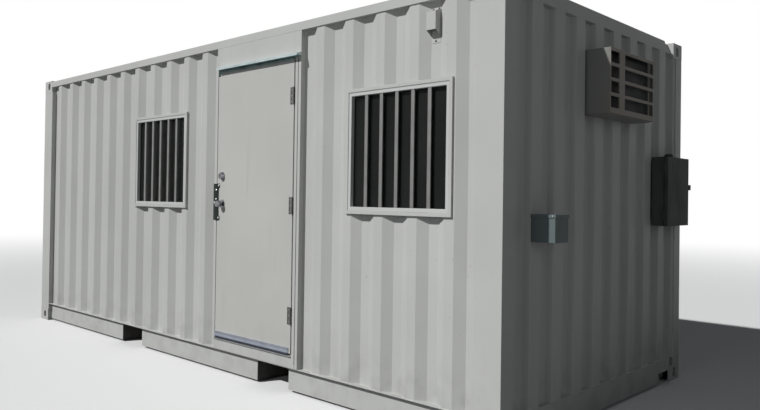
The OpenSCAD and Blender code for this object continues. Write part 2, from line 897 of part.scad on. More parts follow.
module ac_grille() {
    bars = grille_rows - 1;
    row_h = (ac_h - grille_foot - grille_head - bars * grille_bar) / grille_rows;
    right_from = grille_rim + grille_left_w + grille_post_w;
    color("gainsboro") translate([crest_x + ac_out, ac_y, ac_z]) {
        difference() {
            box([-ac_grille_t, 0, 0], [0, ac_w, ac_h]);
            for (i = [0 : bars])
                translate([0, 0, grille_foot + i * (row_h + grille_bar)]) {
                    box([-ac_grille_t - cut, grille_rim, 0],
                        [cut, grille_rim + grille_left_w, row_h]);
                    box([-ac_grille_t - cut, right_from, 0], [cut, ac_w - grille_rim, row_h]);
                }
        }
        box([-ac_grille_t, ac_w - grille_strut_in, grille_foot - cut],
            [grille_strut - ac_grille_t, ac_w - grille_strut_in + grille_strut,
             ac_h - grille_head + cut]);
    }
}

module junction_box() {
    color("gray") translate([crest_x, junction_y, junction_z]) {
        box([0, junction_lip, 0],
            [junction_out - junction_lip, junction_w - junction_lip, junction_h]);
        box([0, 0, junction_h - junction_lid_h], [junction_out, junction_w, junction_h]);
    }
}

// The cover begins here, and its hinge pins stand in the gap behind it
cover_x = crest_x + disconnect_out - cover_d;
cover_pin_x = cover_x - cover_gap / 2;
cover_pin_y = disconnect_y - cover_knuckle_r - cut;
cover_hinge_heights = [
    disconnect_z + cover_hinge_in,
    disconnect_z + disconnect_h - cover_hinge_in
];

// One knuckle of the cover's hinges with its plate, side = 1 for the cover's half
module cover_knuckle(side, from, to) {
    cylinder_h = to - from;
    translate([0, 0, from]) cylinder(r = cover_knuckle_r, h = cylinder_h);
    low = side > 0 ? 0 : -cover_plate_w;
    box([low, cover_knuckle_r + cut - box_t, from],
        [low + cover_plate_w, cover_knuckle_r + cut, to]);
}

// Tab with a padlock hole on the far side of the box, its foot at x = 0
module hasp_tab() {
    difference() {
        translate([0, disconnect_y + disconnect_w, disconnect_z + (disconnect_h - hasp_h) / 2])
            cube([box_t, hasp_w, hasp_h]);
        translate([-cut, disconnect_y + disconnect_w + hasp_w / 2, disconnect_z + disconnect_h / 2])
            rotate([0, 90, 0]) cylinder(r = hasp_hole_r, h = box_t + 2 * cut);
    }
}

module disconnect_box() {
    reach = 1.5 * cover_knuckle_h + knuckle_gap;
    color("dimgray") {
        translate([cover_x - cover_gap - box_t, 0, 0]) hasp_tab();
        translate([(crest_x + cover_x) / 2, disconnect_y + disconnect_w - hub_in,
                   disconnect_z + disconnect_h])
            cylinder(r = hub_r, h = hub_h);
        difference() {
            box([crest_x, disconnect_y, disconnect_z],
                [cover_x - cover_gap, disconnect_y + disconnect_w, disconnect_z + disconnect_h]);
            box([crest_x + box_t, disconnect_y + box_t, disconnect_z + box_t],
                [cover_x + cut, disconnect_y + disconnect_w - box_t,
                 disconnect_z + disconnect_h - box_t]);
        }
        for (z = cover_hinge_heights)
            translate([cover_pin_x, cover_pin_y, z]) {
                cover_knuckle(-1, -reach, -cover_knuckle_h / 2 - knuckle_gap);
                cover_knuckle(-1, cover_knuckle_h / 2 + knuckle_gap, reach);
                translate([0, 0, -reach]) cylinder(r = cover_pin_r, h = 2 * reach);
            }
    }
}

module disconnect_cover() {
    color("dimgray") {
        translate([cover_x, 0, 0]) hasp_tab();
        difference() {
            box([cover_x, disconnect_y, disconnect_z],
                [cover_x + cover_d, disconnect_y + disconnect_w, disconnect_z + disconnect_h]);
            box([cover_x - cut, disconnect_y + box_t, disconnect_z + box_t],
                [cover_x + cover_d - box_t, disconnect_y + disconnect_w - box_t,
                 disconnect_z + disconnect_h - box_t]);
        }
        for (z = cover_hinge_heights)
            translate([cover_pin_x, cover_pin_y, z]) difference() {
                cover_knuckle(1, -cover_knuckle_h / 2, cover_knuckle_h / 2);
                translate([0, 0, -cover_knuckle_h])
                    cylinder(r = cover_pin_r + pin_clearance, h = 2 * cover_knuckle_h);
            }
    }
}

module lining_front_left() {
    color("ivory") difference() {
        box([-lining_in_x, -lining_out_y, floor_top], [door_left, -lining_in_y, ceiling_foot]);
        window_hole(window_left_x);
    }
}

module lining_front_right() {
    color("ivory") difference() {
        box([jamb_right + frame_w, -lining_out_y, floor_top],
            [lining_in_x, -lining_in_y, ceiling_foot]);
        window_hole(window_right_x);
    }
}

module lining_over_door() {
    color("ivory")
        box([door_left, -lining_out_y, header_z + frame_w],
            [jamb_right + frame_w, -lining_in_y, ceiling_foot]);
}

module lining_back() {
    color("ivory")
        box([-lining_in_x, lining_in_y, floor_top], [lining_in_x, lining_out_y, ceiling_foot]);
}

module lining_end() {
    box([lining_in_x, post_t - post_in_y, floor_top],
        [lining_out_x, post_in_y - post_t, ceiling_foot]);
}

module lining_end_left() {
    color("ivory") mirror([1, 0, 0]) lining_end();
}

module lining_end_right() {
    color("ivory") difference() {
        lining_end();
        box([0, ac_y, ac_z], [half_l, ac_y + ac_w, ac_z + ac_h]);
    }
}

module ceiling() {
    color("ivory") difference() {
        box([-floor_edge_x, -lining_out_y, ceiling_foot],
            [floor_edge_x, lining_out_y, ceiling_foot + ceiling_t]);
        casting_room();
    }
}

module door_leaf() {
    color("whitesmoke")
        box([leaf_left, -half_w, leaf_foot], [leaf_right, -leaf_back_y, leaf_top]);
}

module door_sweep() {
    color("lightsteelblue")
        box([leaf_left, -half_w - sweep_t, leaf_foot - sweep_drop],
            [leaf_right - sweep_in, -half_w, leaf_foot + sweep_h]);
}

// The deadbolt's tapered cylinder guard, hollowed round its plug
module deadbolt() {
    rim = deadbolt_out / 4;
    color("silver")
        translate([lock_x, -half_w, deadbolt_z])
            rotate([90, 0, 0]) rotate_extrude()
                polygon([
                    [0, 0], [deadbolt_r, 0], [deadbolt_r, rim],
                    [deadbolt_r - rim, deadbolt_out], [deadbolt_r / 2, deadbolt_out],
                    [deadbolt_r / 2 - cut, deadbolt_out - rim / 2], [0, deadbolt_out - rim / 2]
                ]);
}

// A domed rose, a neck and a round knob with a flat front
module door_knob() {
    rim = rose_h / 3;
    dome_r = (rose_r * rose_r + (rose_h - rim) * (rose_h - rim)) / (2 * (rose_h - rim));
    neck_r = knob_r / 2;
    color("silver")
        translate([lock_x, -half_w, knob_z])
            rotate([90, 0, 0]) rotate_extrude() {
                intersection() {
                    square([rose_r, rose_h]);
                    translate([0, rose_h - dome_r]) circle(dome_r, $fn = 180);
                }
                square([neck_r, knob_out - knob_r]);
                intersection() {
                    translate([0, knob_out - knob_flat]) circle(knob_r);
                    square([knob_r, knob_out]);
                }
            }
}

// A plate folded clear of the gap that it covers, with a tab at each end beside the knob
module latch_guard() {
    back_y = -half_w - guard_plate_gap;
    edge = guard_plate_w / 2;
    fold = edge - guard_tab_w - guard_plate_gap;
    color("silver") translate([leaf_left, 0, guard_plate_z - guard_plate_h / 2]) difference() {
        linear_extrude(guard_plate_h)
            polygon([
                [-edge, back_y], [fold - guard_plate_gap, back_y], [fold, -half_w],
                [edge, -half_w], [edge, -half_w - guard_plate_t],
                [fold + guard_plate_t / 2, -half_w - guard_plate_t],
                [fold - guard_plate_gap + guard_plate_t / 2, back_y - guard_plate_t],
                [-edge, back_y - guard_plate_t]
            ]);
        box([edge - guard_tab_w, back_y - guard_plate_t - cut, guard_tab_h],
            [edge + cut, cut - half_w, guard_plate_h - guard_tab_h]);
    }
}

bottom_castings();
top_castings();
corner_posts();
bottom_side_rails();
top_side_rails();
bottom_end_rails();
top_end_rails();
cross_members();
fork_pockets();
floor_boards();
roof_panel();
front_wall_left();
front_wall_right();
back_wall();
end_wall_right();
end_wall_left();
door_posts();
door_header();
door_sill();
door_frame();
threshold();
drip_cap();
hinge_leaves_frame();
window_frames();
window_glass();
window_guards();
vent_hood();
ac_case();
ac_grille();
junction_box();
disconnect_box();
lining_front_left();
lining_front_right();
lining_over_door();
lining_back();
lining_end_left();
lining_end_right();
ceiling();
door_leaf();
door_sweep();
deadbolt();
door_knob();
latch_guard();
hinge_leaves_door();
disconnect_cover();
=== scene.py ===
"""Paint, glass, window bars, screws and light for a freight container turned into a site cabin."""

import json
import math

import bmesh
import bpy
from mathutils import Matrix, Vector


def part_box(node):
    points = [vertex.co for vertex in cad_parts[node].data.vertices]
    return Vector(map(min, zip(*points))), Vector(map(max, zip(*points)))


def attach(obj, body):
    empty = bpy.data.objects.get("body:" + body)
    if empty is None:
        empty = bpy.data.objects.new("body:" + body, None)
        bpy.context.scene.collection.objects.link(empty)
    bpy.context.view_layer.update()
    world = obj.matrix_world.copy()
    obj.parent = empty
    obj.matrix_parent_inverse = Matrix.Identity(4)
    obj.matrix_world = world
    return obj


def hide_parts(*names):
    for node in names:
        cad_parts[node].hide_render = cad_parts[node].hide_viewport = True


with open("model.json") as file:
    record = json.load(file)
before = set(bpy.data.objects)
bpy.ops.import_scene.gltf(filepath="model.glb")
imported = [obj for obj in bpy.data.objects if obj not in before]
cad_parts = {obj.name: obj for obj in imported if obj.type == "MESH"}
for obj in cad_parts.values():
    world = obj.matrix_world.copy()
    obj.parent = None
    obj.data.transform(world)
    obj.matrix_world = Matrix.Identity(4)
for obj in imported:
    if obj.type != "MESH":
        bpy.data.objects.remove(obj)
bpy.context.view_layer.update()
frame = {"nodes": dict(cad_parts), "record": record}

# Sizes are in metres, and angles with DEG in their name in degrees

# Copies of CAD meshes: how near doubles lie, which faces are one flat face, and which edges
# stay sharp in the light
MERGE_GAP = 0.00001
FLAT_DEG = 0.5
SHARP_DEG = 40

# Folds of the corrugated sheets: each one's radius and the facets that it is given
FOLD_DEG = (8, 75)
SHORTEST_FOLD = 0.02
FOLDS = {
    "front_wall_left": (0.010, 3),
    "front_wall_right": (0.010, 3),
    "back_wall": (0.010, 3),
    "end_wall_right": (0.009, 3),
    "end_wall_left": (0.009, 3),
    "roof_panel": (0.006, 2),
}

# Corners of the frame, doorway and boxes: their radius and the length from which an edge is rounded
CORNER_DEG = (50, 181)
CORNERS = {
    "corner_posts": (0.0045, 0.03),
    "top_side_rails": (0.0045, 0.03),
    "top_end_rails": (0.0045, 0.03),
    "bottom_end_rails": (0.0045, 0.03),
    "bottom_castings": (0.006, 0.03),
    "top_castings": (0.006, 0.03),
    "bottom_side_rails": (0.0015, 0.02),
    "door_posts": (0.0012, 0.01),
    "door_header": (0.0012, 0.01),
    "door_sill": (0.0012, 0.01),
    "window_guards": (0.0012, 0.01),
    "drip_cap": (0.0012, 0.01),
    "window_frames": (0.0025, 0.01),
    "door_leaf": (0.0015, 0.0),
    "vent_hood": (0.0008, 0.01),
    "ac_case": (0.004, 0.02),
    "ac_grille": (0.002, 0.02),
    "junction_box": (0.003, 0.0),
    "disconnect_box": (0.0012, 0.01),
    "disconnect_cover": (0.0012, 0.01),
    "latch_guard": (0.0012, 0.0),
}

# Which way the outer face of each wall looks, and how far a face leans to look out or down
LOOKS_OUT = 0.3
LOOKS_DOWN = -0.7
OUTWARD = {
    "front_wall_left": (0, -1, 0),
    "front_wall_right": (0, -1, 0),
    "back_wall": (0, 1, 0),
    "end_wall_right": (1, 0, 0),
    "end_wall_left": (-1, 0, 0),
}
DOOR_SIDE = (0, -1, 0)

# Bars of the windows, with the welds at their ends
BARS = 5
BAR_W = 0.027
BAR_T = 0.010
BAR_SET_BACK = 0.004
BAR_EDGE_R = 0.0025
BAR_WELD_R = 0.005

# Windows: their size, the rubber round the panes and the sealant round the frames
WINDOW_W = 0.823
WINDOW_FACE = 0.023
GLAZING_W = 0.007
GLAZING_D = 0.004
BEAD_R = 0.0028
BEAD_OUT = BEAD_R / 4

# Weld along the foot of the walls, which runs where an edge of the sheet's outer face lies there
WELD_R = 0.0045
WELD_REACH = 0.001
SHORTEST_WELD = 0.02

# Crown on the head of a screw or bolt: where it ends and how wide it is there, as shares of
# the head's height and radius
CROWN_TOP = 1.5
CROWN_WIDTH = 0.6

# Screws of the vent hood, on its back plate
HOOD_PLATE_T = 0.002
HOOD_SCREW_R = 0.0065
HOOD_SCREW_H = 0.004
HOOD_SCREW_SIDE = 0.022
HOOD_SCREW_DROP = 0.014
HOOD_SCREW_RISE = 0.012

# Bolts of the latch guard, from its left front edge and the middle of its height
LATCH_BOLT_R = 0.008
LATCH_BOLT_H = 0.005
LATCH_BOLTS = (
    (0.040, 0, 0.094),
    (0.038, 0, 0.022),
    (0.016, 0, -0.004),
    (0.062, 0.0055, -0.122),
    (0.064, 0.0055, 0.128),
)

# Keyways, and how far each lies behind the front of its lock
KEYWAY_W = 0.0035
KEYWAY_H = 0.012
KEYWAY_D = 0.004
KEYWAY_OUT = 0.0006
KEYWAY_IN = {"deadbolt": 0.003, "door_knob": 0.0005}

# Door sweep: its rubber lip, dark and set in front so that it is also painted shade of the gap
# under the sweep, its flange and its screws
LIP_D = 0.004
LIP_H = 0.009
LIP_R = LIP_D / 4
LIP_BELOW = 0.004
LIP_SHORT_LEFT = 0.012
LIP_SHORT_RIGHT = 0.004
FLANGE_T = 0.0012
FLANGE_R = FLANGE_T / 3
FLANGE_H = 0.017
SWEEP_SCREWS = 6
SWEEP_SCREW_R = 0.004
SWEEP_SCREW_H = 0.002
SWEEP_SCREW_DROP = 0.013

# Dark teal strips at the head of the door, painted shade: a strip and a tab on the leaf, a strip
# under the drip cap and one beside its left end
TOP_SHADE_STRIP_H = 0.012
TOP_SHADE_STRIP_D = 0.010
TOP_SHADE_STRIP_R = TOP_SHADE_STRIP_D / 10
TOP_SHADE_STRIP_SHORT = 0.012
TAB_W = 0.026
TAB_H = 0.034
TAB_D = 0.005
TAB_R = TAB_D / 3
TAB_DROP = 0.0005
TAB_SHORTEST_EDGE = 0.02
SOFFIT_H = 0.0055
SOFFIT_R = SOFFIT_H / 8
SOFFIT_SHORT = 0.002
STOP_RISE = 0.0055
STOP_TOP = 0.0272
STOP_GAP = 0.0005
STOP_R = TAB_D / 4

# Strips beside the door's hinge edge
JAMB_SEAL_W = 0.0065
JAMB_SEAL_T = 0.0012
JAMB_SEAL_R = JAMB_SEAL_T / 3
JAMB_SEAL_GAP = 0.0055
SEAM_W = 0.0055
SEAM_T = 0.0005
SEAM_R = SEAM_T / 3
SEAM_IN = 0.0275
SEAM_BELOW = 0.07

# Plates of the hinges on the leaf's face
PLATE_W = 0.030
PLATE_H = 0.120
PLATE_T = 0.0022
PLATE_R = PLATE_T / 3
PLATE_GAP = 0.002
PLATE_SCREWS = (-0.042, 0, 0.042)
PLATE_SCREW_R = 0.0045
PLATE_SCREW_H = 0.0016

# Coil behind the cooler's grille
COIL_IN = 0.040
COIL_SHORT = 0.004
COIL_BACK_T = 0.001
FIN_T = 0.0012
FIN_PITCH = 0.010
FIN_D = 0.012
FINS_FROM = 0.014
FINS_SHORT = 0.02
FIN_END = 0.006

# Screw in the lid of the junction box
LID_SCREW_R = 0.005
LID_SCREW_H = 0.003
LID_SCREW_BACK = 0.020
LID_SCREW_DROP = 0.010

# Hub on the disconnect box: each step's foot and top over the box, then its radii there
HUB_STEPS = ((-0.001, 0.0108, 0.0340, 0.03128), (0.009, 0.018, 0.0272, 0.02516))
HUB_FORWARD = 0.002
HUB_ASIDE = 0.014

# Lug on the free edge of the disconnect's cover, whose edges under LUG_ACROSS cross its
# thickness
LUG_W = 0.034
LUG_H = 0.040
LUG_T = 0.006
LUG_R = LUG_H / 5
LUG_IN = 0.001
LUG_ROOT = 0.002
LUG_RISE = 0.035
LUG_ACROSS = LUG_T * 1.1

# An edge longer than this runs along a strip
STRIP_EDGE = 0.5

# Directions in which a grain is drawn out
ALONG_X = (0.05, 1, 1)
UPRIGHT = (1, 1, 0.1)

# How much of the surroundings the finishes show
PAINT_SHINE = 0.03
HOUSING_SHINE = 0.05
SEAM_SHINE = 0.02
DULL_SHINE = 0.01
GLASS_SHINE = 0.03
GLASS_IOR = 1.12

# Finishes: how dark clouds and stains are, how strong streaks and chips, and where dirt ends
CLOUD_SHADE = 0.93
STAIN_SHADE = 0.6
STREAK_SHARE = 0.22
CHIP_SHARE = 0.6
DIRT_TOP = 0.55
DIRT_FOOT = 0.02
RIPPLE_D = 0.0018

# Scale at which a wave pattern gives the lining boards a joint every 1.2 m
BOARD_WAVE = 0.2618

# Colours, as shares of red, green and blue
OFF_WHITE = (0.502, 0.508, 0.491, 1)
WARM_WHITE = (0.496, 0.499, 0.474, 1)
WINDOW_WHITE = (0.54, 0.55, 0.54, 1)
ROAD_DIRT = (0.150, 0.135, 0.110, 1)
RUST = (0.130, 0.055, 0.025, 1)
CHASSIS_BLACK = (0.022, 0.022, 0.021, 1)
PLY_LIGHT = (0.360, 0.215, 0.110, 1)
PLY_DARK = (0.215, 0.115, 0.052, 1)
BOARD_WHITE = (0.700, 0.690, 0.650, 1)
SHADE_GREY = (0.560, 0.550, 0.520, 1)
# Lavender tint of the aluminium trim: painted sky reflection
ALUMINIUM_SKY_TINT = (0.360, 0.390, 0.465, 1)
BAR_GREY = (0.200, 0.200, 0.195, 1)
# Lock chrome, darkened and tinted lavender: partly painted reflection of its surroundings
CHROME_REFLECTION_GREY = (0.230, 0.228, 0.250, 1)
ZINC_GREY = (0.300, 0.300, 0.290, 1)
COOLER_GREY = (0.232, 0.235, 0.228, 1)
COOLER_TAN = (0.250, 0.225, 0.180, 1)
GRILLE_TAN = (0.265, 0.250, 0.222, 1)
LID_GREY = (0.128, 0.156, 0.158, 1)
SWITCH_GREY = (0.086, 0.096, 0.090, 1)
RUBBER_BLACK = (0.012, 0.012, 0.012, 1)
# Near black teal of the latch guard's chrome: painted reflection of dark surroundings
GUARD_DARK_REFLECTION = (0.026, 0.034, 0.031, 1)
BOLT_CHROME = (0.700, 0.700, 0.680, 1)
# Cyan tint of the drip cap's aluminium: painted sky reflection
CAP_SKY_TINT = (0.450, 0.530, 0.540, 1)
SEALANT = (0.400, 0.400, 0.380, 1)
PLATE_GREY = (0.060, 0.061, 0.059, 1)
DULL_GREY = (0.260, 0.262, 0.265, 1)
# Dark teal of the shade under the drip cap and beside its left end: painted shade
SHADED_TEAL = (0.280, 0.390, 0.390, 1)
TAB_SHADE_TEAL = (0.060, 0.090, 0.090, 1)
# The sweep's flange is a darker blue grey; its blue is painted sky reflection
FLANGE_SKY_TINT = (0.280, 0.300, 0.350, 1)
KNUCKLE_GREY = (0.150, 0.150, 0.140, 1)
SEAM_GREY = (0.110, 0.110, 0.100, 1)
VINYL_GREY = (0.050, 0.055, 0.068, 1)
FIN_GREY = (0.110, 0.112, 0.116, 1)
GLASS_GREY = (0.118, 0.126, 0.118, 1)
GLASS_DUST = (0.150, 0.158, 0.150, 1)
# Blue tint of the glass's reflection: painted sky reflection
GLASS_SKY_TINT = (0.80, 0.92, 0.92, 1)
WHITE = (1, 1, 1, 1)
BLACK = (0, 0, 0, 1)
FLOOR_PALE = (0.85, 0.85, 0.85, 1)
FLOOR_BOUNCE = (0.185, 0.188, 0.190, 1)
SKY_BLUE = (0.90, 0.95, 1.0, 1)

# Floor: its radius, and the ring in which it fades to white
FLOOR_R = 60.0
FLOOR_SIDES = 96
FADE_FROM = 6.0
FADE_TO = 22.0

# Light: the way the sun's rays head, its height, and soft panels with place, aim, size and power
SUN_HEADING = Vector((0.358, 0.934, 0.0))
SUN_HEIGHT_DEG = 40.5
SUN_WIDTH_DEG = 1.5
SUN_POWER = 3.33
SKY_POWER = 0.065
PANEL_TINT = (0.97, 0.98, 1.02)
SOFT_PANELS = {
    "end_panel": (Vector((7.2, -2.6, 2.8)), Vector((3.0, -0.4, 1.5)), 2.4, 13.0),
    "front_panel": (Vector((2.9, -6.2, 2.2)), Vector((1.2, -1.2, 1.3)), 2.0, 24.0),
}

# Camera: found from the container's corners in the photograph, turns in radians
PHOTO_W_PX = 760
PHOTO_H_PX = 410
FOCAL_PX = 713.41
MIDDLE_PX = (402.44, 190.84)
SENSOR_MM = 36.0
CAMERA_AT = (5.1762, -4.3716, 1.3709)
CAMERA_YAW = 0.73806
CAMERA_PITCH = 0.010268
CAMERA_ROLL = 0.013905


def feed(tree, socket, value):
    """Joins a socket to another node's, or sets it to a plain value."""
    if isinstance(value, bpy.types.NodeSocket):
        tree.links.new(value, socket)
    else:
        socket.default_value = value


def node_for(tree, kind, sockets, **settings):
    """Adds a shader node, sets what it is given and joins what comes from other nodes."""
    made = tree.nodes.new(kind)
    for key, value in settings.items():
        setattr(made, key, value)
    for key, value in sockets.items():
        feed(tree, made.inputs[key], value)
    return made


def start_material(name, roughness, metallic=0.0):
    """A material with its tree, its shader and the coordinates of the piece."""
    made = bpy.data.materials.new(name)
    made.use_nodes = True
    tree = made.node_tree
    shader = tree.nodes["Principled BSDF"]
    shader.inputs["Roughness"].default_value = roughness
    shader.inputs["Metallic"].default_value = metallic
    place = tree.nodes.new("ShaderNodeTexCoord").outputs["Object"]
    return made, tree, shader, place


def noise(tree, place, scale, stretch=(1, 1, 1), detail=3.0):
    """A cloudy pattern that may be drawn out along the axes."""
    laid = node_for(tree, "ShaderNodeMapping", {"Vector": place, "Scale": stretch})
    made = node_for(
        tree, "ShaderNodeTexNoise",
        {"Vector": laid.outputs["Vector"], "Scale": scale, "Detail": detail},
    )
    return made.outputs["Fac"]


def remap(tree, value, low, high, to_low=0.0, to_high=1.0):
    """Stretches the part of a pattern between low and high over a new range."""
    made = node_for(
        tree, "ShaderNodeMapRange",
        {"Value": value, "From Min": low, "From Max": high, "To Min": to_low, "To Max": to_high},
        interpolation_type="SMOOTHSTEP",
    )
    return made.outputs["Result"]


def times(tree, first, second):
    """Two patterns, or a pattern and a number, multiplied."""
    made = node_for(tree, "ShaderNodeMath", {0: first, 1: second}, operation="MULTIPLY")
    return made.outputs["Value"]


def tint(tree, share, first, second):
    """The second colour over the first by the share of a pattern."""
    made = node_for(tree, "ShaderNodeMix", {"Factor": share}, data_type="RGBA")
    for name, value in (("A", first), ("B", second)):
        feed(tree, [s for s in made.inputs if s.name == name and s.type == "RGBA"][0], value)
    return [s for s in made.outputs if s.type == "RGBA"][0]


def bumps(tree, shader, height, depth, strength=1.0):
    """Raises the surface by a pattern, depth in metres."""
    made = node_for(
        tree, "ShaderNodeBump",
        {"Height": height, "Distance": depth, "Strength": strength},
    )
    tree.links.new(made.outputs["Normal"], shader.inputs["Normal"])


def vary_gloss(tree, shader, pattern, roughness, less, more):
    """Lets the roughness wander between less and more than its mean."""
    wandering = remap(
        tree, pattern, low=0.3, high=0.7, to_low=roughness - less, to_high=roughness + more
    )
    tree.links.new(wandering, shader.inputs["Roughness"])


def painted_steel(name, colour, roughness, dirt):
    """Sprayed satin paint with faint rain streaks, road dirt low down and a few chips."""
    made, tree, shader, place = start_material(name, roughness)
    shader.inputs["Specular IOR Level"].default_value = PAINT_SHINE
    cloud = remap(tree, noise(tree, place, scale=1.3), low=0.3, high=0.7)
    shade = tuple(CLOUD_SHADE * c for c in colour[:3]) + (1,)
    coat = tint(tree, cloud, colour, shade)
    rain = noise(tree, place, scale=14.0, stretch=(1, 1, 0.05), detail=4.0)
    patch = remap(tree, noise(tree, place, scale=1.7), low=0.45, high=0.75)
    rain = remap(tree, rain, low=0.56, high=0.78, to_high=STREAK_SHARE)
    coat = tint(tree, times(tree, rain, patch), coat, ROAD_DIRT)
    height = node_for(tree, "ShaderNodeSeparateXYZ", {"Vector": place}).outputs["Z"]
    near_ground = remap(tree, height, low=DIRT_TOP, high=DIRT_FOOT)
    splash = remap(tree, noise(tree, place, scale=9.0, detail=6.0), low=0.35, high=0.8)
    coat = tint(tree, times(tree, times(tree, near_ground, splash), dirt), coat, ROAD_DIRT)
    chips = remap(tree, noise(tree, place, scale=55.0, detail=2.0), low=0.755, high=0.775)
    coat = tint(tree, times(tree, chips, CHIP_SHARE), coat, RUST)
    tree.links.new(coat, shader.inputs["Base Color"])
    gloss = noise(tree, place, scale=5.0, detail=5.0)
    vary_gloss(tree, shader, gloss, roughness, less=0.05, more=0.07)
    ripple = noise(tree, place, scale=3.5, stretch=(1, 1, 0.5), detail=1.0)
    bumps(tree, shader, ripple, RIPPLE_D, strength=0.6)
    return made


def chassis_paint():
    """Dark underside paint, dusty in places."""
    made, tree, shader, place = start_material("chassis_paint", roughness=0.7)
    dust = noise(tree, place, scale=7.0, detail=6.0)
    dust = remap(tree, dust, low=0.4, high=0.75, to_high=0.5)
    tree.links.new(tint(tree, dust, CHASSIS_BLACK, ROAD_DIRT), shader.inputs["Base Color"])
    bumps(tree, shader, noise(tree, place, scale=60.0), depth=0.0006)
    return made


def plywood():
    """Floor sheets with grain along the cabin and a dark joint at each board."""
    made, tree, shader, place = start_material("floor_plywood", roughness=0.55)
    grain = noise(tree, place, scale=18.0, stretch=(0.12, 1, 1), detail=6.0)
    wood = tint(tree, remap(tree, grain, low=0.35, high=0.7), PLY_LIGHT, PLY_DARK)
    joints = node_for(
        tree, "ShaderNodeTexBrick",
        {"Vector": place, "Scale": 1.0, "Mortar Size": 0.003, "Brick Width": 2.4,
         "Row Height": 1.2, "Color1": WHITE, "Color2": WHITE, "Mortar": BLACK},
    )
    tree.links.new(
        tint(tree, joints.outputs["Fac"], wood, CHASSIS_BLACK), shader.inputs["Base Color"]
    )
    bumps(tree, shader, grain, depth=0.0004)
    return made


def wall_board():
    """Matt white lining boards with faint joints every 1.2 m."""
    made, tree, shader, place = start_material("wall_board", roughness=0.75)
    cloud = remap(tree, noise(tree, place, scale=2.0), low=0.3, high=0.7, to_high=0.35)
    coat = tint(tree, cloud, BOARD_WHITE, SHADE_GREY)
    wave = node_for(
        tree, "ShaderNodeTexWave",
        {"Vector": place, "Scale": BOARD_WAVE, "Distortion": 0.0},
        bands_direction="X",
    )
    joint = remap(tree, wave.outputs["Fac"], low=0.9995, high=1.0, to_high=0.6)
    tree.links.new(tint(tree, joint, coat, SHADE_GREY), shader.inputs["Base Color"])
    bumps(tree, shader, noise(tree, place, scale=240.0), depth=0.0002)
    return made


def metal(name, colour, roughness, stretch=(1, 1, 1), metallic=1.0):
    """Bare metal with a brushed or rolled grain and slight staining."""
    made, tree, shader, place = start_material(name, roughness, metallic)
    stain = noise(tree, place, scale=9.0, detail=5.0)
    stain = remap(tree, stain, low=0.35, high=0.75, to_high=0.5)
    dull = tuple(STAIN_SHADE * c for c in colour[:3]) + (1,)
    tree.links.new(tint(tree, stain, colour, dull), shader.inputs["Base Color"])
    grain = noise(tree, place, scale=160.0, stretch=stretch, detail=2.0)
    vary_gloss(tree, shader, grain, roughness, less=0.06, more=0.10)
    bumps(tree, shader, grain, depth=0.0001)
    return made


def moulded(name, colour, roughness, mark, shine=HOUSING_SHINE):
    """Weathered moulded or enamelled housing with a fine texture and marks of another colour."""
    made, tree, shader, place = start_material(name, roughness)
    shader.inputs["Specular IOR Level"].default_value = shine
    marks = noise(tree, place, scale=6.0, stretch=(1, 1, 0.4), detail=5.0)
    marks = remap(tree, marks, low=0.45, high=0.8, to_high=0.55)
    tree.links.new(tint(tree, marks, colour, mark), shader.inputs["Base Color"])
    grain = noise(tree, place, scale=300.0, detail=2.0)
    vary_gloss(tree, shader, grain, roughness, less=0.04, more=0.08)
    bumps(tree, shader, grain, depth=0.00015)
    return made


def window_glass():
    """Dark clear glass with a trace of dust."""
    made, tree, shader, place = start_material("window_glass", roughness=0.03)
    shader.inputs["Transmission Weight"].default_value = 0.9
    shader.inputs["IOR"].default_value = GLASS_IOR
    shader.inputs["Specular IOR Level"].default_value = GLASS_SHINE
    # The reflection is tinted blue: painted sky reflection
    shader.inputs["Specular Tint"].default_value = GLASS_SKY_TINT
    dust = noise(tree, place, scale=3.0, stretch=(1, 1, 0.5), detail=5.0)
    dust = remap(tree, dust, low=0.4, high=0.8)
    tree.links.new(tint(tree, dust, GLASS_GREY, GLASS_DUST), shader.inputs["Base Color"])
    dulled = remap(tree, dust, low=0.0, high=1.0, to_low=0.02, to_high=0.09)
    tree.links.new(dulled, shader.inputs["Roughness"])
    return made


MATERIALS = {
    "wall_paint": painted_steel("wall_paint", OFF_WHITE, roughness=0.36, dirt=0.35),
    "frame_paint": painted_steel("frame_paint", OFF_WHITE, roughness=0.33, dirt=0.22),
    "door_paint": painted_steel("door_paint", WARM_WHITE, roughness=0.42, dirt=0.3),
    "under_paint": chassis_paint(),
    "plywood": plywood(),
    "lining": wall_board(),
    "window_metal": painted_steel("window_coating", WINDOW_WHITE, roughness=0.30, dirt=0.1),
    "glass": window_glass(),
    "trim_metal": metal("trim_aluminium_sky_tint", ALUMINIUM_SKY_TINT, roughness=0.32, stretch=ALONG_X),
    "chrome": metal("lock_chrome_painted_reflection", CHROME_REFLECTION_GREY, roughness=0.08),
    "hinge_metal": metal("hinge_steel", ZINC_GREY, roughness=0.38, stretch=UPRIGHT),
    "ac_plastic": moulded("cooler_housing", COOLER_GREY, roughness=0.5, mark=COOLER_TAN),
    "junction_grey": moulded("junction_enamel", LID_GREY, roughness=0.42, mark=SWITCH_GREY),
    "switch_grey": moulded(
        "switch_enamel", SWITCH_GREY, roughness=0.4, mark=RUBBER_BLACK, shine=DULL_SHINE
    ),
}
bar_steel = metal("bar_steel", BAR_GREY, roughness=0.36, stretch=UPRIGHT, metallic=0.45)
# The latch guard's chrome, darkened: painted reflection of dark surroundings
guard_painted_reflection = metal("guard_painted_reflection", GUARD_DARK_REFLECTION, roughness=0.12)
bolt_chrome = metal("bolt_chrome", BOLT_CHROME, roughness=0.10)
cap_aluminium_sky_tint = metal("cap_aluminium_sky_tint", CAP_SKY_TINT, roughness=0.30, stretch=ALONG_X)
worn_threshold = metal(
    "worn_threshold", DULL_GREY, roughness=0.5, stretch=ALONG_X, metallic=0.3
)
